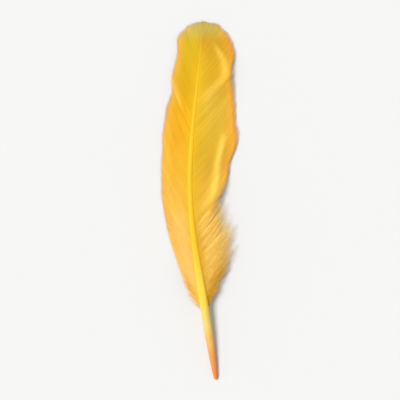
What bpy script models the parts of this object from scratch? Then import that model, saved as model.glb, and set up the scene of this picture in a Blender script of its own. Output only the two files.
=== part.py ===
# A goose quill feather, dyed yellow, lying on a table with its upper side up.
#
# It grew as one piece, so it is one solid: a shaft, and on each side of it a vane made of locks.
# The quill's end points to -Y and the tip to +Y, and the narrow vane is on the -X side.
# The shaft arches over the table. The quill's end, the tip and the edges of both vanes touch it.
# The origin is the middle of the feather's box, on the table.

import math
import random

import bmesh
import bpy
import numpy as np

# Sizes are in millimetres here, and the model is in metres.
MM = 0.001

# Tables of (distance up the feather from the quill's end, value).
LENGTH = 157.0
SHAFT_BOW = ((0, 11.3), (30, 6.6), (60, 1.9), (85, 0.0), (110, 1.3), (135, 3.8), (LENGTH, 5.5))
SHAFT_ARCH = ((0, 0.95), (15, 2.6), (35, 5.2), (60, 7.6), (82, 8.3), (107, 7.2), (132, 4.3), (LENGTH, 0.9))
SHAFT_RADIUS = ((0.5, 0.7), (2, 1.05), (6, 1.35), (15, 1.65), (27, 1.85), (45, 1.7), (66, 1.2), (100, 1.0),
                (132, 0.7), (LENGTH, 0.45))
SHAFT_TOP = 151.0
SHAFT_STEP = 6.0
QUILL_END_RADII = ((0.0, 0.45), (0.5, 0.8))
SHAFT_SIDE_DETAIL = 3

# The vanes.
VANE_START = 29.5
VANE_END = 156.0
VANE_THICKNESS = 0.7
LOCKS = 28
LOCK_COLUMNS = (0.0, 0.1, 0.26, 0.44, 0.6, 0.76, 0.9, 1.0)
LOCK_CROWDING = 0.12
LOCK_RIDGE = 0.3
LOCK_RIDGE_FADE = 4.0
LOCK_END_ROUNDING = 0.03
BARB_STEP = 0.25
SHORTEST_BARB = 1.6
DOWN_LOCKS = 7
FLAT_FROM = 0.8
CREST_SPAN = 0.3

# Each vane: its side of the shaft, its outline (width up the feather), the height of its edge over the table,
# the angle of its barbs to the shaft in degrees, how fast they bend towards the tip in degrees a millimetre,
# and the power of its camber.
NARROW_VANE = {
    "side": -1,
    "outline": ((29, 0), (35, 4.6), (47, 8.0), (60, 10.7), (76, 12.4), (95, 13.2), (112, 13.2), (122, 12.3),
                (127, 11.3), (132, 12.0), (141, 10.7), (148, 10.6), (152, 9.2), (155, 5.8), (LENGTH, 0)),
    "edge_height": ((29, 4.4), (42, 3.2), (52, 1.2), (62, -0.4), (90, -1), (114, -0.4), (128, 0.5), (LENGTH, 0.3)),
    "lean": ((29, 37), (40, 32), (60, 29), (95, 28), (125, 26), (140, 19), (150, 9), (LENGTH, 0)),
    "bend": 0.15,
    "camber": 1.5,
}
WIDE_VANE = {
    "side": 1,
    "outline": ((60, 7.0), (70, 9.4), (79, 12.6), (85, 15.4), (92, 16.6), (99, 18.9), (106, 20.0), (113, 18.9),
                (122, 17.4), (131, 15.3), (136, 14.8), (143, 15.5), (148, 13.9), (152, 11.2), (155, 7.4), (LENGTH, 0)),
    "edge_height": ((60, 4.4), (72, 2.6), (82, 0.8), (90, -0.4), (104, -1), (118, -0.3), (130, 1.0), (139, 0.9),
                    (148, 0.2), (LENGTH, 0.3)),
    "lean": ((60, 43), (80, 43), (110, 41), (130, 36), (142, 27), (151, 13), (LENGTH, 0)),
    "bend": 0.3,
    "camber": 1.5,
}
DOWN = {
    "side": 1,
    "outline": ((29, 0), (36, 4.6), (47, 12.0), (55, 16.4), (65, 18.6), (75, 19.1), (84, 18.0)),
    "edge_height": ((29, 4.2), (45, 2.6), (60, 1.6), (82, 1.4)),
    "lean": ((29, 50), (45, 50), (64, 45), (82, 43)),
    "bend": 0.35,
    "camber": 1.2,
}

# The two folds of the wide vane: their place across it, as a share of its width, and their height.
CREST_PLACE = ((78, 0.46), (90, 0.6), (105, 0.64), (120, 0.66), (137, 0.62), (LENGTH, 0.4))
CREST_HEIGHT = ((70, 0), (80, 0.7), (92, 1.3), (105, 0.8), (115, 0), (128, 0.1), (137, 1.0), (145, 0.9), (LENGTH, 0))

# Splits between two locks: number of the lock below it, how deep it goes as a share of the barb, and how wide
# it opens along the shaft.
NARROW_SPLITS = {17: (0.5, 1.0), 23: (0.24, 0.6), 9: (0.24, 0.5)}
WIDE_SPLITS = {DOWN_LOCKS: (1.0, 1.2), 11: (0.24, 0.9), 13: (0.4, 0.6), 19: (0.74, 1.1), 23: (0.24, 0.7)}
PLAIN_SPLIT = (0.1, 0.4)
DOWN_SPLIT = (0.56, 1.2)
DOWN_SHORTEST, DOWN_LONGEST = 0.9, 1.04
DOWN_LIFT = 1.3
DOWN_SEED = 7


def remove_everything():
    for thing in list(bpy.data.objects):
        bpy.data.objects.remove(thing, do_unlink=True)


def smooth_curve(points):
    # A function that passes smoothly through the points of a table: a natural cubic spline.
    knots, values = np.array(points, float).T
    gaps = np.diff(knots)
    slopes = np.diff(values) / gaps
    last = len(knots) - 1
    system = np.eye(last + 1)
    bends = np.zeros(last + 1)
    for i in range(1, last):
        # The slope doesn't jump at a knot.
        system[i, i - 1 : i + 2] = gaps[i - 1], 2 * (gaps[i - 1] + gaps[i]), gaps[i]
        bends[i] = 6 * (slopes[i] - slopes[i - 1])
    bends = np.linalg.solve(system, bends)

    def value_at(up):
        up = min(max(up, knots[0]), knots[-1])
        i = min(max(int(np.searchsorted(knots, up)) - 1, 0), last - 1)
        after, before = up - knots[i], knots[i + 1] - up
        cubic = (bends[i] * before**3 + bends[i + 1] * after**3) / (6 * gaps[i])
        low = (values[i] / gaps[i] - bends[i] * gaps[i] / 6) * before
        high = (values[i + 1] / gaps[i] - bends[i + 1] * gaps[i] / 6) * after
        return cubic + low + high

    return value_at


bow_at = smooth_curve(SHAFT_BOW)
arch_at = smooth_curve(SHAFT_ARCH)
radius_at = smooth_curve(SHAFT_RADIUS)
crest_place_at = smooth_curve(CREST_PLACE)
crest_height_at = smooth_curve(CREST_HEIGHT)


def with_curves(vane):
    names = ("outline", "edge_height", "lean")
    return vane | {name: smooth_curve(vane[name]) for name in names}


def barb_point(vane, root, share):
    # The point at a share of the length of the barb that leaves the shaft at root: across it, and up the feather.
    across, up = 0.0, root
    lean = math.radians(vane["lean"](root))
    path = [(across, up)]
    while len(path) * BARB_STEP < SHORTEST_BARB or across < vane["outline"](up):
        across += BARB_STEP * math.sin(lean)
        up += BARB_STEP * math.cos(lean)
        lean = max(lean - math.radians(vane["bend"]) * BARB_STEP, 0.0)
        path.append((across, up))
        if up > LENGTH:
            break
    place = share * (len(path) - 1)
    i = min(int(place), len(path) - 2)
    (across_a, up_a), (across_b, up_b) = path[i], path[i + 1]
    part = place - i
    return across_a + (across_b - across_a) * part, up_a + (up_b - up_a) * part


def underside_height(vane, across, up):
    # The vane leaves the shaft half way up it, and falls to its edge with a camber that ends in a flat rim.
    width = max(vane["outline"](up), SHORTEST_BARB)
    share = across / width
    fall = min(share / FLAT_FROM, 1.0) ** vane["camber"]
    height = (arch_at(up) - VANE_THICKNESS / 2) * (1 - fall) + max(vane["edge_height"](up), 0.0) * fall
    if vane is not wide_vane:
        return max(height, 0.0)
    off_crest = (share - crest_place_at(up)) / CREST_SPAN
    crest = max(crest_height_at(up), 0.0) * max(1 - off_crest * off_crest, 0.0) * (1 - fall)
    return max(height + crest, 0.0)


narrow_vane = with_curves(NARROW_VANE)
wide_vane = with_curves(WIDE_VANE)
down = with_curves(DOWN)


def lock_root(number):
    # The locks get a little narrower towards the tip.
    share = number / LOCKS
    return VANE_START + (VANE_END - VANE_START) * (share + LOCK_CROWDING * share * (1 - share))


def parted(split, share):
    # How far a split has opened at a share of the lock's length, from 0 where it starts to 1 at the edge.
    depth = split[0]
    return max(share - (1 - depth), 0.0) / depth


def lock_side(vane, number, facing, split, reach, lift):
    # One long side of a lock. The split beside it opens towards the edge, where the lock's corner is rounded off.
    points = []
    for share in LOCK_COLUMNS:
        opening = parted(split, share)
        root = lock_root(number) + facing * opening * split[1] / 2
        length = share * (1 + opening * (reach - 1 - LOCK_END_ROUNDING))
        across, up = barb_point(vane, root, length)
        height = underside_height(vane, across, up) + lift * opening * share
        points.append((across, up, height))
    return points


def lock_middle(vane, number, reach, lift):
    root = (lock_root(number) + lock_root(number + 1)) / 2
    points = []
    for share in LOCK_COLUMNS:
        across, up = barb_point(vane, root, share * (1 + share * share * (reach - 1)))
        flat = max(1 - across / (max(vane["outline"](up), SHORTEST_BARB) * FLAT_FROM), 0.0)
        ridge = LOCK_RIDGE * math.sin(math.pi * share) * min(LOCK_RIDGE_FADE * flat, 1.0)
        points.append((across, up, underside_height(vane, across, up) + ridge + lift * share**3))
    return points


def add_lock(sheet, vane, number, splits, reach=1.0, lift=0.0):
    rows = (
        lock_side(vane, number, 1, splits(number), reach, lift),
        lock_middle(vane, number, reach, lift),
        lock_side(vane, number + 1, -1, splits(number + 1), reach, lift),
    )
    side = vane["side"]
    grid = [
        [sheet.verts.new(((bow_at(up) + side * across) * MM, up * MM, height * MM)) for across, up, height in row]
        for row in rows
    ]
    for lower, upper in zip(grid[:-1], grid[1:]):
        for i in range(len(LOCK_COLUMNS) - 1):
            corners = [lower[i], lower[i + 1], upper[i + 1], upper[i]]
            sheet.faces.new(corners if side > 0 else corners[::-1])


def narrow_split(number):
    return NARROW_SPLITS.get(number, PLAIN_SPLIT)


def wide_split(number):
    return WIDE_SPLITS.get(number, PLAIN_SPLIT)


def down_split(number):
    return WIDE_SPLITS[number] if number == DOWN_LOCKS else DOWN_SPLIT


def make_vanes():
    # Both vanes are one sheet, joined along the middle of the shaft. Their underside is modelled, and then drawn up
    # by their thickness.
    chance = random.Random(DOWN_SEED)
    sheet = bmesh.new()
    for number in range(LOCKS):
        add_lock(sheet, narrow_vane, number, narrow_split)
        if number < DOWN_LOCKS:
            reach = chance.uniform(DOWN_SHORTEST, DOWN_LONGEST)
            lift = chance.uniform(0, DOWN_LIFT)
            add_lock(sheet, down, number, down_split, reach, lift)
        else:
            add_lock(sheet, wide_vane, number, wide_split)
    bmesh.ops.remove_doubles(sheet, verts=sheet.verts, dist=1e-7)
    upper = bmesh.ops.extrude_face_region(sheet, geom=sheet.faces, use_keep_orig=True)["geom"]
    upper = [item for item in upper if isinstance(item, bmesh.types.BMVert)]
    bmesh.ops.translate(sheet, verts=upper, vec=(0, 0, VANE_THICKNESS * MM))
    bmesh.ops.recalc_face_normals(sheet, faces=sheet.faces)
    mesh = bpy.data.meshes.new("feather")
    sheet.to_mesh(mesh)
    sheet.free()
    return bpy.data.objects.new("feather", mesh)


def make_shaft():
    # The quill and the rachis are one tapering tube along the bow and the arch.
    stations = list(QUILL_END_RADII)
    stations += [(up, radius_at(up)) for up in np.arange(2.0, SHAFT_TOP, SHAFT_STEP)]
    stations.append((SHAFT_TOP, radius_at(SHAFT_TOP)))
    curve = bpy.data.curves.new("shaft", "CURVE")
    curve.dimensions = "3D"
    curve.bevel_depth = MM
    curve.bevel_resolution = SHAFT_SIDE_DETAIL
    curve.use_fill_caps = True
    line = curve.splines.new("POLY")
    line.points.add(len(stations) - 1)
    for point, (up, radius) in zip(line.points, stations):
        point.co = (bow_at(up) * MM, up * MM, arch_at(up) * MM, 1)
        point.radius = radius
    return bpy.data.objects.new("shaft_curve", curve)


def as_mesh(curve_object, name):
    # A Boolean needs a closed mesh, so the curve's tube is made one and its caps are welded on.
    graph = bpy.context.evaluated_depsgraph_get()
    mesh = bpy.data.meshes.new_from_object(curve_object.evaluated_get(graph))
    welded = bmesh.new()
    welded.from_mesh(mesh)
    bmesh.ops.remove_doubles(welded, verts=welded.verts, dist=1e-7)
    bmesh.ops.recalc_face_normals(welded, faces=welded.faces)
    welded.to_mesh(mesh)
    welded.free()
    made = bpy.data.objects.new(name, mesh)
    made.matrix_world = curve_object.matrix_world
    bpy.data.objects.remove(curve_object, do_unlink=True)
    return made


def feather_material():
    material = bpy.data.materials.new("dyed_yellow_feather")
    material.use_nodes = True
    shader = material.node_tree.nodes["Principled BSDF"]
    shader.inputs["Base Color"].default_value = (0.85, 0.5, 0.06, 1)
    shader.inputs["Roughness"].default_value = 0.5
    shader.inputs["Metallic"].default_value = 0.0
    return material


def put_on_the_origin(feather, holder):
    # The holder carries the vanes and the shaft, so both move by the same step.
    bpy.context.view_layer.update()
    shape = feather.evaluated_get(bpy.context.evaluated_depsgraph_get())
    corners = np.array([shape.matrix_world @ vertex.co for vertex in shape.data.vertices])
    low, high = corners.min(axis=0), corners.max(axis=0)
    holder.location = (-(low[0] + high[0]) / 2, -(low[1] + high[1]) / 2, -low[2])


def main():
    remove_everything()
    parts = bpy.data.collections.new("goose_quill_feather")
    tools = bpy.data.collections.new("joined_shapes")
    bpy.context.scene.collection.children.link(parts)
    bpy.context.scene.collection.children.link(tools)

    holder = bpy.data.objects.new("feather_origin", None)
    parts.objects.link(holder)
    feather = make_vanes()
    parts.objects.link(feather)

    curve_object = make_shaft()
    tools.objects.link(curve_object)
    bpy.context.view_layer.update()
    shaft = as_mesh(curve_object, "shaft")
    tools.objects.link(shaft)
    shaft.hide_render = True
    shaft.display_type = "WIRE"

    union = feather.modifiers.new("shaft", "BOOLEAN")
    union.operation = "UNION"
    union.solver = "EXACT"
    union.object = shaft
    feather.parent = holder
    shaft.parent = holder
    feather.data.materials.append(feather_material())
    put_on_the_origin(feather, holder)


main()
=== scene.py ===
import math

import bpy
import numpy as np
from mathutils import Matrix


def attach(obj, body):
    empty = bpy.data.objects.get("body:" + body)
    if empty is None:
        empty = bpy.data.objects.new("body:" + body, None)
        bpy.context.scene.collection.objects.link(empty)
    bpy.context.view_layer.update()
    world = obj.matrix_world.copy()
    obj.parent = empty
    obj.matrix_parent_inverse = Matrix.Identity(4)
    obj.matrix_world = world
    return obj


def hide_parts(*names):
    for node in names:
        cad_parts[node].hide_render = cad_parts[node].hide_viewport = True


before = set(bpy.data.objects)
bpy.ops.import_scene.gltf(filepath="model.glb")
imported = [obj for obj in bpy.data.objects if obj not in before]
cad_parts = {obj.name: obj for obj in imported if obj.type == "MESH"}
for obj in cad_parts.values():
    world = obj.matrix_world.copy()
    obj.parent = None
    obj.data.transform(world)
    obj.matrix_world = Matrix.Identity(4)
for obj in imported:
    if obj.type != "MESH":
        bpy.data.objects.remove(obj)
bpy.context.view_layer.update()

print("frame loaded")

mm = 0.001      # sizes below are in millimetres, meshes are in metres
calm = 1.6      # brings most normal random numbers to between -1 and 1
placeScale = 20  # a thread of the down is this long to its finish, whatever its length

# Tables hold (distance up the feather from the quill's end, value). Bow and arch are the solid's own.
featherForm = {
    "length": 157.0,
    "bow": ((0, 11.3), (30, 6.6), (60, 1.9), (85, 0.0), (110, 1.3), (135, 3.8), (157, 5.5)),
    "arch": ((0, 0.95), (15, 2.6), (35, 5.2), (60, 7.6), (82, 8.3), (107, 7.2), (132, 4.3), (157, 0.9)),
    # the wide vane is creased along one line: its place as a share of the width, and its height
    "crestPlace": (
        (66, 0.5), (70, 0.62), (75, 0.75), (80, 0.79), (85, 0.745), (90, 0.76), (95, 0.755), (100, 0.72),
        (105, 0.72), (110, 0.68), (114, 0.52), (118, 0.37), (121.5, 0.35), (124, 0.43), (126, 0.52),
        (129.5, 0.72), (133, 0.88), (135.5, 0.89), (138, 0.82), (141, 0.7), (144, 0.55), (147, 0.45),
        (157, 0.3)),
    "crestHeight": (
        (66, 0), (71, 0), (76, 0.6), (82, 1.2), (90, 1.5), (98, 1.5), (103, 1.1), (107, 0.4), (111, 0),
        (118, 0), (122, 0.4), (127, 0.85), (133, 1.1), (138, 1.1), (142, 0.9), (145, 0.4), (148, 0)),
    # how far it rises on the shaft's side, and how far and how it falls on the rim's
    "crestInside": (
        (66, 2.8), (77, 2.9), (84, 2.6), (90, 2.0), (103, 1.8), (110, 2.1), (118, 2.8), (132, 2.8),
        (138, 2.1), (144, 1.2), (157, 1.0)),
    "crestOutside": 4.2,
    "crestFall": 1.2,
    # its painted highlight, a pale band along it: how strong, then its place and reach as shares of the rise,
    # and how sharp its ends are
    "crestPaintedHighlight": ((66, 1.0), (104, 1.0), (118, 0.6), (140, 0.6), (146, 0.8), (157, 0.8)),
    "highlightPlace": 0.6,
    "highlightReach": 0.75,
    "highlightPower": 1.9,
    "highlightHeight": 0.7,     # the painted highlight is at its strongest from this height of the crest
    "flatFrom": 0.8,       # the rim of a vane levels out from this share of its width
    "flatBlend": 5.0,      # and the more suddenly, the higher this is
    "vaneSeat": 0.56,      # how high up the shaft's side the barbs leave it, as a share of its radius
    "rimLift": 0.3,        # height of the barbs' middle over the table at the rim
    "leastWidth": 1.6,     # where a vane ends in a point, its width counts as this
}


def smoothCurve(points, step=0.2):
    # a natural cubic spline through a table, read off a fine one
    knots, values = np.array(points, float).T
    gaps = np.diff(knots)
    slopes = np.diff(values) / gaps
    last = len(knots) - 1
    system = np.eye(last + 1)
    bends = np.zeros(last + 1)
    for i in range(1, last):
        system[i, i - 1:i + 2] = gaps[i - 1], 2 * (gaps[i - 1] + gaps[i]), gaps[i]
        bends[i] = 6 * (slopes[i] - slopes[i - 1])
    bends = np.linalg.solve(system, bends)
    fine = np.append(np.arange(knots[0], knots[-1], step), knots[-1])
    i = np.clip(np.searchsorted(knots, fine) - 1, 0, last - 1)
    after, before = fine - knots[i], knots[i + 1] - fine
    line = (bends[i] * before ** 3 + bends[i + 1] * after ** 3) / (6 * gaps[i])
    line += (values[i] / gaps[i] - bends[i] * gaps[i] / 6) * before
    line += (values[i + 1] / gaps[i] - bends[i + 1] * gaps[i] / 6) * after
    return lambda up: np.interp(up, fine, line)


def blendIn(value, start, end):
    share = np.clip((value - start) / (end - start), 0, 1)
    return share * share * (3 - 2 * share)


def softNoise(rng, count, reach):
    # one number for each of a row of barbs, mostly -1 to 1, alike for neighbours within reach
    width = int(3 * reach) + 1
    bell = np.exp(-0.5 * (np.arange(-width, width + 1) / max(reach, 0.01)) ** 2)
    row = np.convolve(rng.normal(size=count + 2 * width), bell, mode="valid")
    return row / math.sqrt(np.sum(bell ** 2)) / calm


def unit(vectors):
    return vectors / np.maximum(np.linalg.norm(vectors, axis=-1, keepdims=True), 1e-9)


bowAt = smoothCurve(featherForm["bow"])
archAt = smoothCurve(featherForm["arch"])
crestPlaceAt = smoothCurve(featherForm["crestPlace"])
crestHeightAt = smoothCurve(featherForm["crestHeight"])
crestInsideAt = smoothCurve(featherForm["crestInside"])
crestHighlightAt = smoothCurve(featherForm["crestPaintedHighlight"])

# The shaft: a round hollow quill below, a squarer rachis with a groove under it above.
shaftShape = {
    "radius": (
        (0, 0.5), (0.6, 0.74), (2, 0.96), (6, 1.2), (12, 1.48), (17, 1.68), (27, 1.85), (45, 1.7), (66, 1.2),
        (100, 0.98), (120, 0.74), (132, 0.52), (145, 0.28), (157, 0.1)),
    "top": 156.2,
    "holeRings": (2.2, 0.3, 0.02),      # the small hole at the quill's end, from its bottom outwards
    "holeRadii": (0.15, 0.27, 0.345),
    "endRadius": 0.52,
    "endRings": (0.0, 0.2, 0.5, 0.9, 1.5, 2.2),
    "ringsFrom": 3.2,
    "ringStep": 1.1,
    "sides": 32,
    "squareFrom": 28.0,    # from round to rounded square between these two
    "squareTo": 44.0,
    "squareness": 2.9,
    "topFlattening": 0.2,  # of the square part, as shares of the radius
    "underBulge": 0.1,
    "grooveDepth": 0.34,
    "grooveWidth": 0.42,   # in radians
    "unevenness": 0.018,
    "unevenReach": 3.0,    # rings
    "seed": 3,
}
shaftMap = {"from": 0.01, "length": 0.97, "caps": 0.99, "capStarts": (0.0, 0.5), "capWidth": 0.4}
radiusAt = smoothCurve(shaftShape["radius"])

# Splits: where the barb beside it leaves the shaft, how deep it goes, how wide it opens, how far its lower
# and its upper side lift, and how strong the painted highlight on each side is, as paleness.
narrowVane = {
    "name": "narrow_vane",
    "side": -1,
    "outline": (
        (29, 0), (35, 4.6), (47, 8.0), (60, 10.7), (76, 12.4), (95, 13.2), (112, 13.2), (122, 12.3),
        (127, 11.3), (132, 12.0), (141, 10.7), (148, 10.9), (151.5, 10.2), (154.5, 7.4), (156.3, 4.2),
        (157, 0)),
    "edgeHeight": (
        (29, 4.4), (42, 3.2), (52, 1.2), (62, -0.4), (90, -1), (114, -0.4), (128, 0.5), (157, 0.3)),
    "lean": ((29, 37), (40, 32), (60, 29), (95, 28), (125, 26), (140, 19), (150, 9), (157, 0)),
    "bend": 0.15,
    "camber": 1.4,
    "firstBarb": 29.8,
    "lastBarb": 155.9,
    "barbSpacing": 0.4,
    "splits": (
        (106.0, 0.5, 0.2, 0.1, 0.65, 0.0, 0.6), (59, 0.2, 0.35, 0.1, 0, 0.1, 0),
        (83, 0.12, 0.4, 0.2, 0, 0.2, 0), (139, 0.16, 0.3, 0.1, 0, 0.2, 0),
        (97, 0.09, 0.5, 0.1, 0, 0.1, 0), (125.5, 0.16, 0.4, 0.1, 0.2, 0, 0.3),
        (71, 0.08, 0.3, 0.1, 0, 0.1, 0), (46, 0.22, 0.5, 0.2, 0, 0.2, 0)),
    "looseBelow": 40.0,
    "seed": 11,
}
wideVane = {
    "name": "wide_vane",
    "side": 1,
    "outline": (
        (60, 5.4), (70, 7.3), (76, 10.6), (80, 13.7), (84, 16.1), (88, 16.9), (92, 16.8), (96, 17.5),
        (101, 19.5), (106, 20.0), (113, 18.9), (122, 17.4), (131, 15.3), (136, 14.8), (143, 15.4),
        (148, 13.9), (152, 11.2), (155, 7.8), (156.4, 4.6), (157, 0)),
    "edgeHeight": (
        (60, 6.0), (68, 5.2), (74, 4.2), (80, 2.8), (86, 1.1), (92, -0.3), (104, -1), (118, -0.3),
        (130, 1.0), (139, 0.9), (148, 0.2), (157, 0.3)),
    "lean": ((60, 43), (80, 43), (110, 41), (130, 36), (142, 27), (151, 13), (157, 0)),
    "bend": 0.3,
    "camber": 1.4,
    "firstBarb": 63.6,
    "lastBarb": 155.9,
    "barbSpacing": 0.37,
    "splits": (
        (112.6, 0.2, 0.5, -0.2, 0.2, 0.5, 0.0), (84.4, 0.1, 0.4, 0.2, 0, 0.2, 0),
        (95, 0.12, 0.3, 0.2, 0, 0.2, 0), (138.5, 0.2, 0.4, 0.2, 0, 0.2, 0),
        (104, 0.1, 0.5, 0.2, 0, 0.2, 0), (74.5, 0.08, 0.3, 0.1, 0, 0.1, 0),
        (128, 0.1, 0.4, 0.2, 0, 0.2, 0), (66.6, 0.3, 0.5, 0.1, 0, 0.1, 0)),
    "looseBelow": 74.0,
    "paleBelow": 78.0,     # its lowest barbs are pale, towards the down
    "lowPaleness": 0.62,
    "paleShare": (0.1, 0.6),   # it sets in between these shares of their length
    "seed": 12,
}
barbShape = {
    "stations": 18,        # points along a barb
    "crowding": 0.9,       # below 1 they crowd towards its tip
    "shortest": 1.6,
    "overlap": 0.57,       # half width over the spacing, so that neighbours lap
    "ridge": 0.05,         # the barb's spine on the upper side
    "ridgePlace": -0.12,   # off its middle, as a share of its half width
    "keel": 0.26,          # the spine on the lower side
    "keelWidth": 0.2,      # share of the half width
    "keelShoulder": 0.55,  # share of its depth
    "thinning": 0.6,       # how much shallower it is at the tip
    "shingle": 0.03,       # how far the upper edge stands over the next barb
    "tuck": 0.6,           # and how far the lower one dips, as a share of that
    "tipWidth": 0.12,
    "tipTaperFrom": 0.9,
    "unevenHeight": 0.05,  # barb by barb
    "bundleHeight": 0.08,  # bundles of barbs
    "bundleReach": 3.2,    # barbs
    "bundleShare": (0.12, 0.7),   # they part between these shares of their length
    "looseShare": (0.6, 1.0),
    "looseness": 2.0,      # of the lowest barbs
    "swellHeight": 0.3,    # soft waves of the whole vane
    "swellReach": 26.0,
    "swellFade": 0.6,      # towards the tips
    "raggedness": 0.012,   # lengths, barb by barb
    "notching": 0.012,     # lengths, bundle by bundle
    "notchReach": 4.0,
    "fade": 0.4,           # how much shorter some of the lowest barbs are
    "fadeReach": 4.5,
    "sway": 0.22,          # sideways drift of the loose ends
    "swayReach": 5.0,
    "clearance": 0.24,     # of a barb's middle over the table
    "keelClearance": 0.02,
    "splitSpread": 1.6,    # these three: how far from a split it shows, up and down the shaft
    "curlSpread": 1.6,
    "highlightSpread": 3.2,
    "splitRounding": 1.2,
    "curlRounding": 0.8,
    "highlightFrom": (-0.2, 0.25),   # where a split's painted highlight sets in, as shares of its depth
}
# shares of the map: of its own width for a barb, with the cuts between its six sides, and of the length
vaneMap = {"barb": 0.96, "cuts": (0.0, 0.3, 0.6, 0.7, 0.8, 0.9, 1.0), "length": 0.98, "caps": 0.99}


def readTables(vane):
    for table in ("outline", "edgeHeight", "lean"):
        vane[table + "At"] = smoothCurve(vane[table])
    return vane


def offCrest(vane, across, up):
    return across - crestPlaceAt(up) * vane["outlineAt"](up)


def shareAcross(vane, across, up):
    return across / np.maximum(vane["outlineAt"](up), featherForm["leastWidth"])


def vaneHeight(vane, across, up):
    # the middle of the sheet of barbs: seated on the shaft, cambered, and flat along its rim
    share = np.maximum(shareAcross(vane, across, up), 0)
    fall = (share / featherForm["flatFrom"]) ** vane["camber"]
    fall = fall / (1 + fall ** featherForm["flatBlend"]) ** (1 / featherForm["flatBlend"])
    seat = archAt(up) + featherForm["vaneSeat"] * radiusAt(up)
    edge = np.maximum(vane["edgeHeightAt"](up), 0.0) + featherForm["rimLift"]
    height = seat * (1 - fall) + edge * fall
    if vane["name"] == "wide_vane":
        off = offCrest(vane, across, up)
        rise = np.exp(-(off / crestInsideAt(up)) ** 2)
        drop = np.exp(-np.abs(off / featherForm["crestOutside"]) ** featherForm["crestFall"])
        height = height + np.maximum(crestHeightAt(up), 0.0) * np.where(off < 0, rise, drop)
    return height


def growBarbs(vane, roots, reach, turn=0.0, step=0.2, longest=60.0):
    # each barb marches away from the shaft until it meets the vane's outline
    lean = np.radians(vane["leanAt"](roots) + turn)
    across, up = np.zeros_like(roots), roots.copy()
    track = [np.stack([across, up], -1)]
    end = np.full(len(roots), longest)
    for number in range(1, int(longest / step)):
        across = across + step * np.sin(lean)
        up = up + step * np.cos(lean)
        lean = np.maximum(lean - math.radians(vane["bend"]) * step, 0.0)
        track.append(np.stack([across, up], -1))
        ended = (number * step >= barbShape["shortest"]) & (across >= vane["outlineAt"](up))
        done = ended | (up > featherForm["length"])
        end = np.where(done & (end == longest), number * step, end)
    track = np.array(track)
    length = end * reach
    at = np.arange(len(track)) * step
    stations = np.linspace(0, 1, barbShape["stations"]) ** barbShape["crowding"]
    path = np.empty((len(roots), len(stations), 2))
    for i in range(len(roots)):
        for axis in (0, 1):
            path[i, :, axis] = np.interp(stations * length[i], at, track[:, i, axis])
    return path[..., 0], path[..., 1], stations, length


def placeBarbs(vane, across, up):
    # points in space with three directions at each: along the barb, towards the next barb, off the sheet
    side, small = vane["side"], 0.05
    points = np.stack([bowAt(up) + side * across, up, vaneHeight(vane, across, up)], -1)
    slopeAcross = (vaneHeight(vane, across + small, up) - vaneHeight(vane, across - small, up)) / (2 * small)
    slopeUp = (vaneHeight(vane, across, up + small) - vaneHeight(vane, across, up - small)) / (2 * small)
    drift = (bowAt(up + small) - bowAt(up - small)) / (2 * small)
    outwards = np.stack([np.full_like(across, side), np.zeros_like(across), slopeAcross], -1)
    upwards = np.stack([drift, np.ones_like(across), slopeUp], -1)
    off = unit(np.cross(outwards, upwards) * side)
    along = unit(np.gradient(points, axis=1))
    beside = unit(np.cross(off, along)) * side
    return points, along, beside, off


def addMesh(name, vertices, faces, places, strips, around, sharp, spots=None):
    # a mesh in metres in the frame; places and spots are what the finish reads at each point; around is
    # the number of points in each ring of it, and sharp the ones that a crease runs through
    mesh = bpy.data.meshes.new(name)
    mesh.from_pydata(((vertices + originShift) * mm).tolist(), [], faces)
    mesh.update()
    attribute = mesh.attributes.new("barbPlace", "FLOAT_VECTOR", "POINT")
    attribute.data.foreach_set("vector", np.asarray(places, np.float32).ravel())
    if spots is not None:
        attribute = mesh.attributes.new("vaneSpot", "FLOAT_VECTOR", "POINT")
        attribute.data.foreach_set("vector", np.asarray(spots, np.float32).ravel())
    layer = mesh.uv_layers.new(name="OFBake")
    layer.data.foreach_set("uv", np.asarray(strips, np.float32).ravel())
    mesh.shade_smooth()
    ends = np.empty(len(mesh.edges) * 2, np.int32)
    mesh.edges.foreach_get("vertices", ends)
    corner = ends.reshape(-1, 2) % around
    creased = (corner[:, 0] == corner[:, 1]) & np.isin(corner[:, 0], sharp)
    mesh.attributes.new("sharp_edge", "BOOLEAN", "EDGE").data.foreach_set("value", creased)
    piece = bpy.data.objects.new(name, mesh)
    bpy.context.scene.collection.objects.link(piece)
    return piece


def settle(piece, material):
    piece.data.materials.append(material)
    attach(piece, "root")
    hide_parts("feather")
    return piece


# The CAD box is centred on the origin, and the quill's end is its lowest Y, so that gives the shift.
quillEnd = min((vertex.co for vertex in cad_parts["feather"].data.vertices), key=lambda place: place.y)
originShift = np.array([quillEnd.x / mm - bowAt(0.0), quillEnd.y / mm, 0.0])


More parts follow.
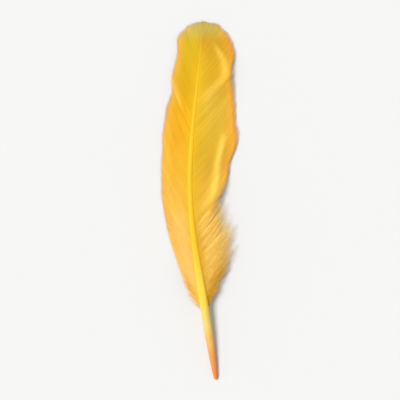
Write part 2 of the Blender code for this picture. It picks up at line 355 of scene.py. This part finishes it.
def makeShaft(material):
    shape = shaftShape
    rng = np.random.default_rng(shape["seed"])
    upper = np.arange(shape["ringsFrom"], shape["top"], shape["ringStep"])
    ups = np.concatenate([shape["holeRings"], shape["endRings"], upper, [shape["top"]]])
    inHole = len(shape["holeRings"])
    radii = radiusAt(ups)
    radii[:inHole] = shape["holeRadii"]
    radii[inHole] = shape["endRadius"]
    wobble = 1 + shape["unevenness"] * softNoise(rng, len(ups), shape["unevenReach"])
    turns = np.linspace(0, 2 * math.pi, shape["sides"], endpoint=False)
    centres = np.stack([bowAt(ups), ups, archAt(ups)], -1)
    small = 0.3
    ahead = np.stack([bowAt(ups + small) - bowAt(ups - small), np.full(len(ups), 2 * small),
                      archAt(ups + small) - archAt(ups - small)], -1)
    ahead = unit(ahead)
    sideways = unit(np.cross(ahead, np.tile([0.0, 0.0, 1.0], (len(ups), 1))))
    upright = unit(np.cross(sideways, ahead))
    square = blendIn(ups, shape["squareFrom"], shape["squareTo"])[:, None]
    power = 2 / (2 + (shape["squareness"] - 2) * square)
    flat = np.sign(np.cos(turns)) * np.abs(np.cos(turns)) ** power
    tall = np.sign(np.sin(turns)) * np.abs(np.sin(turns)) ** power
    offBottom = np.abs((turns - 1.5 * math.pi + math.pi) % (2 * math.pi) - math.pi)
    tall = tall + shape["grooveDepth"] * square * np.exp(-(offBottom / shape["grooveWidth"]) ** 2)
    tall = tall * np.where(tall > 0, 1 - shape["topFlattening"] * square, 1 + shape["underBulge"] * square)
    size = (radii * wobble)[:, None, None]
    rings = (centres[:, None, :] + size * (flat[..., None] * sideways[:, None, :]
                                           + tall[..., None] * upright[:, None, :]))
    count, sides = len(ups), shape["sides"]
    faces, strips = [], []
    for ring in range(count - 1):
        low, high = (shaftMap["from"] + shaftMap["length"] * edge / count for edge in (ring, ring + 1))
        for turn in range(sides):
            nextTurn = (turn + 1) % sides
            faces.append((ring * sides + turn, ring * sides + nextTurn, (ring + 1) * sides + nextTurn,
                          (ring + 1) * sides + turn))
            left, right = turn / sides, (turn + 1) / sides
            strips += [(left, low), (right, low), (right, high), (left, high)]
    faces.append(tuple(range(sides))[::-1])
    faces.append(tuple((count - 1) * sides + turn for turn in range(sides)))
    for cap in shaftMap["capStarts"]:
        strips += [(cap + shaftMap["capWidth"] * turn / sides, shaftMap["caps"]) for turn in range(sides)]
    heights = np.repeat(ups, sides)
    places = np.stack([heights, np.tile(turns, count), heights / featherForm["length"]], -1)
    shaft = addMesh("shaft", rings.reshape(-1, 3), faces, places, strips, sides, ())
    return settle(shaft, material)


def openSplits(vane, roots, stations, points, beside, off):
    # neighbours part along a split: they draw away from it, and its sides curl and get a painted highlight, a
    # paler colour
    shape = barbShape
    palenessAndHighlight = np.zeros(points.shape[:2])
    for root, depth, gap, lowerLift, upperLift, lowerHighlight, upperHighlight in vane["splits"]:
        inwards = (stations[None, :] - (1 - depth)) / depth
        opening = np.clip(inwards, 0, 1) ** shape["splitRounding"]
        away = (roots - root)[:, None]
        push = 0.5 * gap * opening * np.exp(-np.abs(away) / shape["splitSpread"]) * np.sign(away)
        curl = opening ** shape["curlRounding"] * np.exp(-np.abs(away) / shape["curlSpread"])
        lift = np.where(away < 0, lowerLift, upperLift) * curl
        points = points + beside * push[..., None] + off * lift[..., None]
        # painted highlight along each side of a split
        splitHighlight = np.exp(-(away / shape["highlightSpread"]) ** 2) * blendIn(inwards, *shape["highlightFrom"])
        palenessAndHighlight = np.maximum(palenessAndHighlight, np.where(away < 0, lowerHighlight, upperHighlight) * splitHighlight)
    return points, palenessAndHighlight


def paleWideVaneAndCrestHighlight(vane, roots, stations, across, up, palenessAndHighlight):
    # pale towards the down, and a painted highlight along the crest
    towardsDown = (1 - blendIn(roots, vane["firstBarb"], vane["paleBelow"]))[:, None]
    towardsDown = vane["lowPaleness"] * towardsDown * blendIn(stations, *vane["paleShare"])[None, :]
    reachIn = crestInsideAt(up)
    off = offCrest(vane, across, up) + featherForm["highlightPlace"] * reachIn
    off = off / (featherForm["highlightReach"] * reachIn)
    high = np.clip(crestHeightAt(up) / featherForm["highlightHeight"], 0, 1)
    # painted highlight along the crest
    paintedCrestHighlight = np.exp(-np.abs(off) ** featherForm["highlightPower"]) * high * crestHighlightAt(up)
    return np.maximum(np.maximum(palenessAndHighlight, towardsDown), paintedCrestHighlight)


def makeVane(vane, material):
    shape = barbShape
    rng = np.random.default_rng(vane["seed"])
    roots = np.arange(vane["firstBarb"], vane["lastBarb"], vane["barbSpacing"])
    count = len(roots)
    single = rng.normal(size=count) / calm
    bundle = softNoise(rng, count, shape["bundleReach"])
    swell = softNoise(rng, count, shape["swellReach"])
    drift = softNoise(rng, count, shape["swayReach"])
    notches = softNoise(rng, count, shape["notchReach"])
    lowest = 1 - blendIn(roots, vane["firstBarb"], vane["firstBarb"] + shape["fadeReach"])
    reach = 1 + shape["raggedness"] * single + shape["notching"] * notches
    reach = reach * (1 - shape["fade"] * lowest * np.minimum(np.abs(single) * calm, 1))
    across, up, stations, length = growBarbs(vane, roots, reach)
    points, _, beside, off = placeBarbs(vane, across, up)
    pitch = np.abs(np.sum(np.gradient(points, axis=0) * beside, axis=-1))

    outer = blendIn(stations, *shape["bundleShare"])[None, :]
    loose = blendIn(stations, *shape["looseShare"])[None, :]
    base = 1 + shape["looseness"] * (1 - blendIn(roots, vane["firstBarb"], vane["looseBelow"]))[:, None]
    rise = (shape["unevenHeight"] * single[:, None] * loose * base
            + shape["bundleHeight"] * bundle[:, None] * outer * base
            + shape["swellHeight"] * swell[:, None] * outer * (1 - shape["swellFade"] * loose))
    sway = shape["sway"] * drift[:, None] * loose ** 2 * base
    points = points + off * rise[..., None] + beside * sway[..., None]
    points, palenessAndHighlight = openSplits(vane, roots, stations, points, beside, off)
    points[..., 2] = np.maximum(points[..., 2], shape["clearance"])
    if vane["name"] == "wide_vane":
        palenessAndHighlight = paleWideVaneAndCrestHighlight(vane, roots, stations, across, up, palenessAndHighlight)

    along = unit(np.gradient(points, axis=1))
    beside = unit(np.cross(off, along)) * vane["side"]
    taper = 1 - (1 - shape["tipWidth"]) * blendIn(stations, shape["tipTaperFrom"], 1.0)[None, :]
    wide = (pitch * shape["overlap"] * taper)[..., None]
    thin = (1 - shape["thinning"] * stations)[None, :, None]
    shoulder = -shape["keel"] * shape["keelShoulder"]
    profile = ((-1.0, -shape["shingle"] * shape["tuck"]), (shape["ridgePlace"], shape["ridge"]),
               (1.0, shape["shingle"]), (shape["keelWidth"], shoulder), (0.0, -shape["keel"]),
               (-shape["keelWidth"], shoulder))
    rows = []
    for sideways, height in profile:
        depth = height * thin if height < -shape["shingle"] else height * np.ones_like(thin)
        rows.append(points + beside * wide * sideways + off * depth)
    vertices = np.stack(rows, axis=2)
    vertices[..., 2] = np.maximum(vertices[..., 2], shape["keelClearance"])

    around, last = len(profile), len(stations) - 1
    index = np.arange(count * len(stations) * around).reshape(count, len(stations), around)
    faces, strips = [], []
    cuts = np.array(vaneMap["cuts"]) * vaneMap["barb"]
    order = 1 if vane["side"] > 0 else -1
    for i in range(count):
        for k in range(last):
            low, high = (vaneMap["length"] * edge / last for edge in (k, k + 1))
            for j in range(around):
                nextJ = (j + 1) % around
                corners = (index[i, k, j], index[i, k, nextJ], index[i, k + 1, nextJ], index[i, k + 1, j])
                left, right = (i + cuts[j]) / count, (i + cuts[j + 1]) / count
                spots = ((left, low), (right, low), (right, high), (left, high))
                faces.append(tuple(int(c) for c in corners[::-order]))
                strips += spots[::-order]
        for k, turn in ((0, order), (last, -order)):
            faces.append(tuple(int(c) for c in index[i, k, ::turn]))
            strips += [((i + cuts[j]) / count, vaneMap["caps"]) for j in range(around)][::turn]
    places = np.empty((*index.shape, 3))
    places[..., 0] = roots[:, None, None]
    places[..., 1] = (stations[None, :] * length[:, None])[..., None]
    places[..., 2] = rng.random(count)[:, None, None]
    spots = np.stack([shareAcross(vane, across, up), up / featherForm["length"], palenessAndHighlight], -1)
    spots = np.repeat(spots[:, :, None, :], around, axis=2)
    piece = addMesh(vane["name"], vertices.reshape(-1, 3), faces, places.reshape(-1, 3), strips, around,
                    (0, 2), spots.reshape(-1, 3))
    print(vane["name"], count, "barbs", len(faces), "faces")
    return settle(piece, material)


# The down: limp barbs without hooks, each with two rows of fine barbules, over a softer layer of bare ones.
downTuft = {
    "name": "down",
    "side": 1,
    "outline": (
        (29, 0), (36, 4.6), (47, 12.0), (55, 16.4), (64, 18.8), (70, 18.2), (75, 16.6), (80, 14.4),
        (84, 13.0)),
    "edgeHeight": ((29, 4.2), (45, 2.6), (60, 1.6), (82, 1.4)),
    "lean": ((29, 50), (45, 50), (64, 45), (82, 43)),
    "bend": 0.35,
    "camber": 1.2,
    "layers": ("under", "over"),
    "firstBarb": 30.2,
    "lastBarb": 66.0,
    "turn": 6.0,           # degrees either way
    "wander": 0.9,         # sideways, at the ends
    "tufting": 0.6,        # how far bundles of barbs draw together at their ends
    "barbuleLength": 1.7,
    "facing": 0.45,        # how far the flat side of its threads turns up the feather
    "seed": 21,
}
baseFluff = {
    "name": "base_fluff",
    "side": -1,
    "outline": ((29, 1.0), (35, 5.2), (47, 8.2), (60, 10.0)),
    "edgeHeight": ((29, 4.2), (45, 2.6), (60, 1.6)),
    "lean": ((29, 46), (45, 40), (60, 36)),
    "bend": 0.5,
    "camber": 1.2,
    "layers": ("over",),
    "firstBarb": 29.2,
    "lastBarb": 38.0,
    "turn": 8.0,
    "wander": 0.6,
    "tufting": 0.2,
    "barbuleLength": 1.2,
    "facing": 0.0,
    "seed": 22,
}
downLayers = {
    # barb spacing, shortest and longest share of the outline, lowest and highest lift at the end, how much of
    # the tuft's looseness it has, thickness over width, least and most paleness, half widths along a barb
    "under": {
        "spacing": 0.34, "reach": (0.62, 0.94), "lift": (-0.2, 0.1), "loose": 0.25, "flatness": 0.15,
        "pale": (0.4, 0.9), "widths": ((0, 0.34), (0.4, 0.32), (0.65, 0.23), (0.88, 0.07), (1, 0.02))},
    "over": {
        "spacing": 0.48, "reach": (0.7, 1.0), "lift": (0.0, 1.3), "loose": 1.0, "flatness": 0.4,
        "pale": (0.5, 1.0), "widths": ((0, 0.06), (0.5, 0.045), (1, 0.015))},
}
downShape = {
    "scatter": 0.2,            # of the roots along the shaft, either way
    "waves": (1.2, 2.6),       # fewest and most in a barb, as half turns
    "waveSize": (0.3, 1.0),    # shares of the tuft's wander
    "waveGrowth": 1.2,         # this and the next two growths: the higher, the nearer to the end it sets in
    "bundleGrowth": 2,
    "liftGrowth": 1.3,
    "bundleReach": 2.5,        # barbs
    "bob": 0.3,                # waves up and down
    "bobWaves": 1.3,           # for one sideways
    "bobPhase": 2,
    "clearance": 0.25,         # of a barb's middle over the table
}
barbuleShape = {
    "first": 0.5,              # how far from the shaft they begin
    "stagger": 0.1,            # one row that much earlier, the other that much later
    "step": 0.26,              # along a barb
    "last": 0.995,             # share of the barb
    "width": 0.011,
    "taper": (1.0, 0.85, 0.3),
    "flatness": 0.25,
    "roll": 0.55,              # how far they turn out of the plane of the tuft, in radians
    "spread": (36, 60),        # degrees between a barbule and its barb
    "curl": 0.5,               # how far they turn along the barb
    "stray": 0.2,
    "sizes": (0.6, 1.15),      # shares of the tuft's own barbule length
    "rootSize": 0.35,          # shorter than that at the barb's root, until they are grown
    "growth": (0.05, 0.5),
    "endLoss": 0.55,           # and shorter again towards its end
    "ending": (0.7, 1.0),
    "pale": (0.5, 1.0),
    "clearance": 0.06,
}
# a thread's corners as (sideways, height), its share of its cell of the map and where its ends lie there
threadCorners = ((-1.0, -0.4), (1.0, -0.4), (0.0, 1.0))
threadMap = {"cell": 0.9, "caps": ((0, 0), (0.3, 0), (0.3, 0.05))}
downMap = {"barbs": 0.22, "nextBarbs": 0.24, "barbules": 0.75, "barbulesFrom": (0.0, 0.24)}


def threads(lines, flat, widths, flatness):
    # closed tapering threads of three sides along many lines, lying flat on the direction given
    count, stations = lines.shape[:2]
    along = unit(np.gradient(lines, axis=1))
    beside = unit(np.cross(along, flat))
    over = np.cross(beside, along)
    rings = np.stack([lines + widths[..., None] * (beside * sideways + over * height * flatness)
                      for sideways, height in threadCorners], axis=2)
    index = np.arange(count * stations * 3).reshape(count, stations, 3)
    turned = np.roll(index, -1, axis=2)
    quads = np.stack([index[:, :-1], turned[:, :-1], turned[:, 1:], index[:, 1:]], -1)
    # each thread has its own cell of the map
    across = math.ceil(math.sqrt(count))
    corner = np.stack([np.arange(count) % across, np.arange(count) // across], -1) / across
    left, low = np.meshgrid(np.arange(3) / 3, np.arange(stations - 1) / (stations - 1))
    right, high = left + 1 / 3, low + 1 / (stations - 1)
    spots = ((left, low), (right, low), (right, high), (left, high))
    spots = np.stack([np.stack(spot, -1) for spot in spots], 2)
    quadMap = corner[:, None, None, None, :] + spots[None] * threadMap["cell"] / across
    capMap = corner[:, None, :] + np.array(threadMap["caps"])[None] * threadMap["cell"] / across
    faces = quads.reshape(-1, 4).tolist() + index[:, 0, ::-1].tolist() + index[:, -1].tolist()
    faceMap = np.concatenate([quadMap.reshape(-1, 2), capMap.reshape(-1, 2), capMap.reshape(-1, 2)])
    return rings.reshape(-1, 3), faces, faceMap


def growLayer(tuft, layer, rng):
    shape = downShape
    roots = np.arange(tuft["firstBarb"], tuft["lastBarb"], layer["spacing"])
    count = len(roots)
    roots = roots + layer["loose"] * rng.uniform(-shape["scatter"], shape["scatter"], count)
    reach = rng.uniform(*layer["reach"], count)
    turn = rng.uniform(-tuft["turn"], tuft["turn"], count) * layer["loose"]
    across, up, stations, length = growBarbs(tuft, roots, reach, turn)
    points, _, beside, off = placeBarbs(tuft, across, up)
    phase = rng.uniform(0, 2 * math.pi, (count, 1))
    waves = rng.uniform(*shape["waves"], (count, 1)) * math.pi
    wander = tuft["wander"] * rng.uniform(*shape["waveSize"], (count, 1))
    wander = wander * np.sin(phase + waves * stations) * stations ** shape["waveGrowth"]
    bundles = softNoise(rng, count, shape["bundleReach"])[:, None]
    wander = wander + tuft["tufting"] * bundles * stations ** shape["bundleGrowth"]
    lift = rng.uniform(*layer["lift"], (count, 1)) * stations ** shape["liftGrowth"]
    bob = np.sin(phase * shape["bobPhase"] + waves * shape["bobWaves"] * stations)
    lift = lift + layer["loose"] * shape["bob"] * bob * stations
    points = points + beside * (layer["loose"] * wander)[..., None] + off * lift[..., None]
    points[..., 2] = np.maximum(points[..., 2], shape["clearance"])
    along = unit(np.gradient(points, axis=1))
    return roots, stations, length, points, along, beside, unit(off + tuft["facing"] * beside)


def growBarbules(tuft, roots, stations, length, points, along, beside, off, rng):
    # two rows along every barb: lines of three points, the way up at each, and their places for the finish
    shape = barbuleShape
    lines, upwards, places = [], [], []
    for i in range(len(roots)):
        for hand in (-1, 1):
            at = np.arange(shape["first"] + shape["stagger"] * hand, length[i], shape["step"]) / length[i]
            at = at[at < shape["last"]]
            here, ahead, sideways, over = (
                np.stack([np.interp(at, stations, rows[i, :, axis]) for axis in range(3)], -1)
                for rows in (points, along, beside, off))
            ahead, over = unit(ahead), unit(over)
            roll = rng.normal(0, shape["roll"], len(at))[:, None]
            spread = np.radians(rng.uniform(*shape["spread"], len(at)))[:, None]
            out = unit(sideways) * hand * np.cos(roll) + over * np.sin(roll)
            size = tuft["barbuleLength"] * rng.uniform(*shape["sizes"], len(at))[:, None]
            grown = shape["rootSize"] + (1 - shape["rootSize"]) * blendIn(at, *shape["growth"])
            size = size * (grown * (1 - shape["endLoss"] * blendIn(at, *shape["ending"])))[:, None]
            first = ahead * np.cos(spread) + out * np.sin(spread)
            second = unit(first + ahead * shape["curl"] + rng.normal(0, shape["stray"], (len(at), 3)))
            middle = here + first * size * 0.5
            lines.append(np.stack([here, middle, middle + second * size * 0.5], 1))
            upwards.append(over)
            pale = rng.uniform(*shape["pale"], len(at))
            places.append(np.stack([np.full(len(at), roots[i]), at * placeScale, pale], -1))
    lines = np.concatenate(lines)
    lines[..., 2] = np.maximum(lines[..., 2], shape["clearance"])
    return lines, np.repeat(np.concatenate(upwards)[:, None, :], 3, axis=1), np.concatenate(places)


def makeDown(tuft, material):
    rng = np.random.default_rng(tuft["seed"])
    vertices, faces, places, faceMap = [], [], [], []

    def gather(lines, flat, widths, flatness, linePlaces, corner, share):
        # each batch of threads has its own part of the map
        newVertices, newFaces, newMap = threads(lines, flat, widths * np.ones((len(lines), 1)), flatness)
        start = sum(len(batch) for batch in vertices)
        vertices.append(newVertices)
        faces.extend([number + start for number in face] for face in newFaces)
        places.append(linePlaces)
        faceMap.append(newMap * share + np.array(corner))

    for number, name in enumerate(tuft["layers"]):
        layer = downLayers[name]
        roots, stations, length, points, along, beside, off = growLayer(tuft, layer, rng)
        widths = smoothCurve(layer["widths"], step=0.01)(stations)[None, :]
        corners = len(stations) * len(threadCorners)
        heights = np.repeat(stations * placeScale, len(threadCorners))
        barbPlaces = np.stack([np.repeat(roots, corners), np.tile(heights, len(roots)),
                               np.repeat(rng.uniform(*layer["pale"], len(roots)), corners)], -1)
        gather(points, off, widths, layer["flatness"], barbPlaces,
               (downMap["nextBarbs"] * number, 0.0), downMap["barbs"])
    lines, upwards, barbulePlaces = growBarbules(
        tuft, roots, stations, length, points, along, beside, off, rng)
    widths = barbuleShape["width"] * np.array(barbuleShape["taper"])[None, :]
    barbulePlaces = np.repeat(barbulePlaces, len(barbuleShape["taper"]) * len(threadCorners), axis=0)
    gather(lines, upwards, widths, barbuleShape["flatness"], barbulePlaces,
           downMap["barbulesFrom"], downMap["barbules"])
    piece = addMesh(tuft["name"], np.concatenate(vertices), faces, np.concatenate(places),
                    np.concatenate(faceMap), len(threadCorners), (0, 1, 2))
    print(tuft["name"], len(lines), "barbules", len(faces), "faces")
    return settle(piece, material)


# The finishes read two places at each point. barbPlace is where its barb leaves the shaft, how far along the
# barb it is, and a random number for the barb; for the shaft, it ends with the share of the feather's length.
# vaneSpot is the share of the vane's width, the share of the feather's length, and how pale it is, painted
# highlight on the crest and splits included.


def newMaterial(name):
    material = bpy.data.materials.new(name)
    material.use_nodes = True
    return material


def addNode(tree, kind, sockets, **settings):
    # each socket is fed by another node's output, or set to a value
    node = tree.nodes.new("ShaderNode" + kind)
    for setting, value in settings.items():
        setattr(node, setting, value)
    for socket, value in sockets.items():
        if isinstance(value, bpy.types.NodeSocket):
            tree.links.new(value, node.inputs[socket])
        else:
            node.inputs[socket].default_value = value
    return node.outputs


def ranged(tree, value, span, result, soft=True):
    # what lies between the two of span comes to lie between the two of result
    sockets = {"Value": value, "From Min": span[0], "From Max": span[1],
               "To Min": result[0], "To Max": result[1]}
    return addNode(tree, "MapRange", sockets, interpolation_type="SMOOTHSTEP" if soft else "LINEAR")[0]


def varied(tree, value, span, strength):
    # a factor about 1
    return ranged(tree, value, span, (1 - strength / 2, 1 + strength / 2), soft=False)


def reckoned(tree, operation, first, second):
    return addNode(tree, "Math", {0: first, 1: second}, operation=operation)[0]


def mixed(tree, amount, first, second):
    return addNode(tree, "Mix", {"Factor": amount, "A": first, "B": (*second, 1)}, data_type="RGBA")["Result"]


def scaled(tree, colour, amount):
    return addNode(tree, "VectorMath", {0: colour, "Scale": amount}, operation="SCALE")[0]


def noise(tree, place, scale, detail, roughness=0.5, turn=0.0):
    place = addNode(tree, "Mapping", {"Vector": place, "Scale": scale, "Rotation": (0.0, 0.0, turn)})[0]
    sockets = {"Vector": place, "Scale": 1.0, "Detail": detail, "Roughness": roughness}
    return addNode(tree, "TexNoise", sockets)["Fac"]


def coloured(tree, share, stops):
    # the colours of a table of (share of the feather's length, colour)
    node = tree.nodes.new("ShaderNodeValToRGB")
    ramp = node.color_ramp
    ramp.interpolation = "EASE"
    while len(ramp.elements) > 1:
        ramp.elements.remove(ramp.elements[-1])
    ramp.elements[0].position = stops[0][0]
    ramp.elements[0].color = (*stops[0][1], 1)
    for place, colour in stops[1:]:
        ramp.elements.new(place).color = (*colour, 1)
    tree.links.new(share, node.inputs[0])
    return node.outputs["Color"]


def startFinish(name):
    # an empty material, and the place in the feather with its three parts
    material = newMaterial(name)
    tree = material.node_tree
    tree.nodes.clear()
    place = addNode(tree, "Attribute", {}, attribute_name="barbPlace")["Vector"]
    return material, tree, place, addNode(tree, "SeparateXYZ", {0: place})


def endFinish(tree, look, colour, roughness, relief):
    # the surface, with some light through it where it is thin
    normal = addNode(tree, "Bump", {"Height": relief, **look["bump"]})[0]
    sockets = {"Base Color": colour, "Roughness": roughness, "Normal": normal, **look["surface"]}
    surface = addNode(tree, "BsdfPrincipled", sockets)[0]
    if "translucence" in look:
        through = addNode(tree, "BsdfTranslucent", {"Color": colour})[0]
        surface = addNode(tree, "MixShader", {0: look["translucence"], 1: surface, 2: through})[0]
    addNode(tree, "OutputMaterial", {"Surface": surface})


vaneColour = {
    # stops go from the quill's end to the tip, as (share of the length, colour); beside is painted shade next
    # to the shaft, rim is painted orange bounce light
    "narrow": {
        "stops": (
            (0.18, (0.86, 0.55, 0.045)), (0.3, (0.87, 0.52, 0.12)), (0.42, (0.85, 0.52, 0.11)),
            (0.5, (0.83, 0.475, 0.06)), (0.58, (0.82, 0.45, 0.03)), (0.7, (0.8, 0.4, 0.01)),
            (0.82, (0.67, 0.37, 0.003)), (0.935, (0.62, 0.4, 0.004)), (0.985, (0.55, 0.41, 0.09))),
        "beside": (0.74, 0.44, 0.004),
        "rim": (0.9, 0.43, 0.065)},
    "wide": {
        "stops": (
            (0.4, (0.98, 0.56, 0.06)), (0.54, (0.97, 0.57, 0.05)), (0.64, (0.9, 0.57, 0.04)),
            (0.76, (0.88, 0.57, 0.055)), (0.85, (0.78, 0.46, 0.022)), (0.94, (0.69, 0.38, 0.022)),
            (0.985, (0.6, 0.47, 0.09))),
        "beside": (0.84, 0.53, 0.012),
        "rim": (0.98, 0.4, 0.045)},
    "shaftShadeStrength": 0.8,
    "shaftShadeReach": 0.4,        # the painted shade of the shaft reaches this share of the width
    "shaftShadeEnds": (0.84, 0.96),   # it fades between these shares of the length
    # painted orange bounce light on the rim, as from red surroundings
    "rimBounceStrength": 0.6,
    "rimBounceReach": (0.55, 1.0),
    # pale: the colour of the palest barbs, also used for the painted highlight on the crest and the splits
    "pale": (0.96, 0.66, 0.1),
    "streaks": {"scale": (0.55, 0.05, 0.0), "detail": 5.0, "roughness": 0.7},   # stretched along the barbs
    "streakSpan": (0.3, 0.7),
    "streakStrength": 0.14,
    "barbStrength": 0.13,
    "rows": {"scale": (9.0, 14.0, 0.0), "detail": 2.0, "turn": 0.6},   # the barbules across each barb
    "bump": {"Strength": 0.35, "Distance": 0.00004},
    "roughness": (0.36, 0.56),
    "surface": {
        "Specular IOR Level": 0.3, "Specular Tint": (1.0, 0.88, 0.3, 1),
        "Sheen Weight": 0.15, "Sheen Roughness": 0.4, "Sheen Tint": (1.0, 0.88, 0.3, 1)},
    "translucence": 0.2,
}


def vaneFinish(name, own):
    look = vaneColour
    material, tree, place, parts = startFinish(name)
    spot = addNode(tree, "Attribute", {}, attribute_name="vaneSpot")["Vector"]
    where = addNode(tree, "SeparateXYZ", {0: spot})
    shadeBesideShaft = ranged(tree, where["X"], (0.0, look["shaftShadeReach"]), (look["shaftShadeStrength"], 0.0))
    belowTip = ranged(tree, where["Y"], look["shaftShadeEnds"], (1.0, 0.0))
    bounceOnRim = ranged(tree, where["X"], look["rimBounceReach"], (0.0, look["rimBounceStrength"]))
    colour = coloured(tree, where["Y"], own["stops"])
    # painted shade of the shaft beside it
    colour = mixed(tree, reckoned(tree, "MULTIPLY", shadeBesideShaft, belowTip), colour, own["beside"])
    # painted orange bounce light along the rim
    colour = mixed(tree, bounceOnRim, colour, own["rim"])
    # paler where the lowest barbs meet the down, plus the painted highlight along the crest and the splits
    colour = mixed(tree, where["Z"], colour, look["pale"])
    streaks = noise(tree, place, **look["streaks"])
    streakAmount = varied(tree, streaks, look["streakSpan"], look["streakStrength"])
    barbAmount = varied(tree, parts["Z"], (0.0, 1.0), look["barbStrength"])
    colour = scaled(tree, colour, reckoned(tree, "MULTIPLY", streakAmount, barbAmount))
    roughness = ranged(tree, streaks, (0.0, 1.0), look["roughness"], soft=False)
    endFinish(tree, look, colour, roughness, noise(tree, place, **look["rows"]))
    return material


shaftColour = {
    "stops": (
        # the red-orange towards the quill's end is painted reflection of red surroundings
        (0.0, (0.72, 0.19, 0.035)), (0.06, (0.72, 0.25, 0.055)), (0.11, (0.73, 0.37, 0.09)),
        (0.16, (0.72, 0.51, 0.125)), (0.24, (0.8, 0.53, 0.05)), (0.4, (0.81, 0.43, 0.012)),
        (0.6, (0.8, 0.41, 0.006)), (0.8, (0.74, 0.39, 0.005)), (0.9, (0.64, 0.36, 0.006)),
        (1.0, (0.5, 0.34, 0.04))),
    "grain": {"scale": (2600, 120, 2600), "detail": 4.0},   # in a metre, stretched along the shaft
    "grainStrength": 0.28,
    "bump": {"Strength": 0.25, "Distance": 0.00005},
    "roughness": (0.36, 0.52),
    "surface": {"Specular IOR Level": 0.4, "Specular Tint": (1.0, 0.88, 0.45, 1)},
}


def shaftFinish():
    look = shaftColour
    material, tree, _, parts = startFinish("dyed horn of the shaft")
    grain = noise(tree, addNode(tree, "TexCoord", {})["Object"], **look["grain"])
    colour = coloured(tree, parts["Z"], look["stops"])
    colour = scaled(tree, colour, varied(tree, grain, (0.0, 1.0), look["grainStrength"]))
    roughness = ranged(tree, grain, (0.0, 1.0), look["roughness"], soft=False)
    endFinish(tree, look, colour, roughness, grain)
    return material


downColour = {
    "light": (1.0, 0.7, 0.15),
    "deep": (1.0, 0.54, 0.07),
    # root is painted shade: the shaft's shade on the down beside it, and the shade at the down's base
    "root": (0.63, 0.31, 0.001),
    "rootShadeReach": 9.0,          # how far the painted shade from the shaft reaches, in twentieths of a barb
    "lowest": (34.0, 48.0),    # barbs that leave the shaft below the second get painted shade, for the down's base
    "baseShadeDepth": 0.88,
    "patches": {"scale": (0.8, 0.45, 0.0), "detail": 4.0, "roughness": 0.65},   # where the dye took unevenly
    "patchSpan": (0.3, 0.7),
    "patchStrength": 0.14,
    "rows": {"scale": (9.0, 12.0, 0.0), "detail": 2.0},   # the joints of its barbules, across each barb
    "bump": {"Strength": 0.3, "Distance": 0.00003},
    "roughness": (0.54, 0.72),
    "surface": {
        "Specular Tint": (1.0, 0.82, 0.4, 1), "Sheen Weight": 0.3, "Sheen Tint": (1.0, 0.82, 0.4, 1)},
    "translucence": 0.05,
}


def downFinish():
    look = downColour
    material, tree, place, parts = startFinish("dyed down")
    shadeNearShaft = ranged(tree, parts["Y"], (0.0, look["rootShadeReach"]), (1.0, 0.0))
    shadeAtBase = ranged(tree, parts["X"], look["lowest"], (look["baseShadeDepth"], 0.0))
    colour = mixed(tree, parts["Z"], (*look["deep"], 1), look["light"])
    # painted shade near the shaft and at the base of the down
    colour = mixed(tree, reckoned(tree, "MAXIMUM", shadeNearShaft, shadeAtBase), colour, look["root"])
    patches = noise(tree, place, **look["patches"])
    colour = scaled(tree, colour, varied(tree, patches, look["patchSpan"], look["patchStrength"]))
    rows = noise(tree, place, **look["rows"])
    roughness = ranged(tree, rows, (0.0, 1.0), look["roughness"], soft=False)
    endFinish(tree, look, colour, roughness, rows)
    return material


studio = {
    "floorSize": 60.0,
    "floorColour": (0.64, 0.64, 0.635),
    "floorRoughness": 0.8,
    "floorGloss": 0.1,
    "sunPlace": (-0.54, 0.2, 1.0),      # the way the key light comes from
    "sunAngle": 24.0,                  # degrees across, for soft shadows
    "sunStrength": 3.2,
    "skyAbove": 0.52,
    "skyAtFloor": 0.945,
    "skyBand": (0.06, 0.55),           # how high up it changes, between the floor's edge and straight up
    "cameraHeight": 0.415,
    "lens": 85.0,
    "nearest": 0.01,                   # what the camera sees, in metres from it
}


def makeStudio():
    bpy.ops.mesh.primitive_plane_add(size=studio["floorSize"])
    floor = bpy.context.object
    floor.name = "floor"
    material = newMaterial("pale floor")
    surface = material.node_tree.nodes["Principled BSDF"]
    surface.inputs["Base Color"].default_value = (*studio["floorColour"], 1)
    surface.inputs["Roughness"].default_value = studio["floorRoughness"]
    surface.inputs["Specular IOR Level"].default_value = studio["floorGloss"]
    floor.data.materials.append(material)

    sun = bpy.data.objects.new("key", bpy.data.lights.new("key", "SUN"))
    sun.data.energy = studio["sunStrength"]
    sun.data.angle = math.radians(studio["sunAngle"])
    bpy.context.scene.collection.objects.link(sun)
    place = np.array(studio["sunPlace"])
    sun.rotation_euler = (0, math.acos(place[2] / np.linalg.norm(place)), math.atan2(place[1], place[0]))

    # a pale sky, brightest low down so that the floor has no edge
    world = bpy.data.worlds.new("studio")
    bpy.context.scene.world = world
    world.use_nodes = True
    tree = world.node_tree
    up = addNode(tree, "SeparateXYZ", {0: addNode(tree, "TexCoord", {})["Generated"]})["Z"]
    strength = ranged(tree, up, studio["skyBand"], (studio["skyAtFloor"], studio["skyAbove"]))
    tree.links.new(strength, tree.nodes["Background"].inputs["Strength"])
    tree.nodes["Background"].inputs["Color"].default_value = (1, 1, 1, 1)

    camera = bpy.data.objects.new("camera", bpy.data.cameras.new("camera"))
    bpy.context.scene.collection.objects.link(camera)
    camera.data.lens = studio["lens"]
    camera.data.clip_start = studio["nearest"]
    camera.location = (0, 0, studio["cameraHeight"])
    bpy.context.scene.camera = camera
    bpy.context.scene.view_settings.view_transform = "Standard"


for part in (narrowVane, wideVane, downTuft, baseFluff):
    readTables(part)

makeStudio()
makeShaft(shaftFinish())
print("shaft made")
makeVane(narrowVane, vaneFinish("narrow vane yellow", vaneColour["narrow"]))
makeVane(wideVane, vaneFinish("wide vane yellow", vaneColour["wide"]))
print("vanes made")
downLook = downFinish()
makeDown(downTuft, downLook)
makeDown(baseFluff, downLook)
print("down made")
